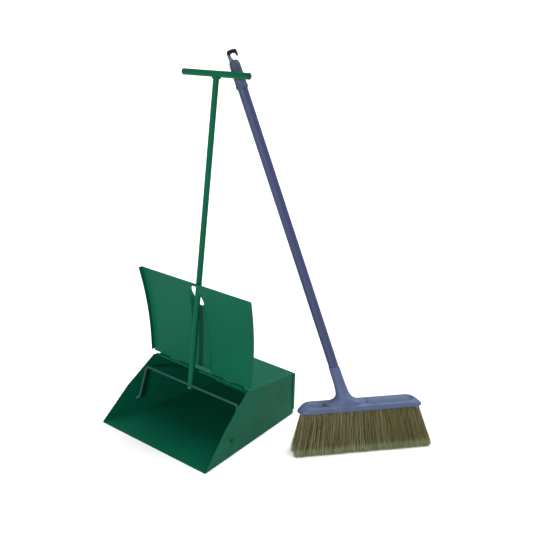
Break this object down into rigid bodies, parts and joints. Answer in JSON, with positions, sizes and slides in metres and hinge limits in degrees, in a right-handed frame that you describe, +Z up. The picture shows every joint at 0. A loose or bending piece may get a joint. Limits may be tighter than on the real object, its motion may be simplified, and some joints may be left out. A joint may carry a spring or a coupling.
{
  "type": "dust pan and brush set",
  "caption": "Upright lidded dust pan with a wire bail and a T-shaped handle, and a long-handled brush that leans on it.",
  "frame": {"origin": "middle of the pan's floor sheet, on its underside", "axes": "+Z up, the pan's mouth faces -Y, its closed back faces +Y, and +X is to the right seen from the mouth"},
  "size_m": [0.5251, 0.3875, 0.717],
  "materials": {
    "green_paint": "satin green enamel on sheet steel, tube and wire",
    "bare_steel": "bare plug end",
    "dark_plastic": "moulded, near black",
    "blue_plastic": "moulded, blue-grey, slightly glossy",
    "coated_tube": "blue-grey coated steel tube",
    "bristle": "olive synthetic fibre with paler flagged tips"
  },
  "bodies": {
    "pan": {"pan_tray": "green_paint", "back_panel": "green_paint", "top_cover": "green_paint", "hinge_pin": "green_paint"},
    "lid": {"lid_panel": "green_paint"},
    "bail": {"bail_wire": "green_paint", "bail_cap_left": "green_paint", "bail_cap_right": "green_paint"},
    "handle": {"handle_rod": "green_paint", "grip_bar": "green_paint", "grip_plug_left": "dark_plastic", "grip_plug_right": "dark_plastic", "rod_foot_plug": "bare_steel"},
    "brush": {"brush_block": "blue_plastic", "bristle_row_1": "bristle", "bristle_row_2": "bristle", "bristle_row_3": "bristle", "bristle_row_4": "bristle", "brush_tube": "coated_tube", "tube_plug": "dark_plastic", "end_cap": "blue_plastic", "hanging_hook": "dark_plastic"}
  },
  "joints": [
    {"name": "bail_swing", "type": "hinge", "parent": "pan", "child": "bail", "pos_m": [0, -0.064, 0.03], "axis": [1, 0, 0], "range_deg": [0, 110]},
    {"name": "handle_tilt", "type": "hinge", "parent": "bail", "child": "handle", "pos_m": [0, -0.0428, 0.0915], "axis": [1, 0, 0], "range_deg": [-40, 0]},
    {"name": "lid_swing", "type": "hinge", "parent": "pan", "child": "lid", "pos_m": [0, -0.017, 0.1122], "axis": [1, 0, 0], "range_deg": [0, 119.5]},
    {"name": "brush_lift", "type": "slide", "parent": "pan", "child": "brush", "axis": [0, 0, 1], "range_m": [0, 0.3]}
  ],
  "couplings": [
    {"joint": "handle_tilt", "follows": "bail_swing", "ratio": -0.3636},
    {"joint": "lid_swing", "follows": "bail_swing", "ratio": 1.086}
  ]
}
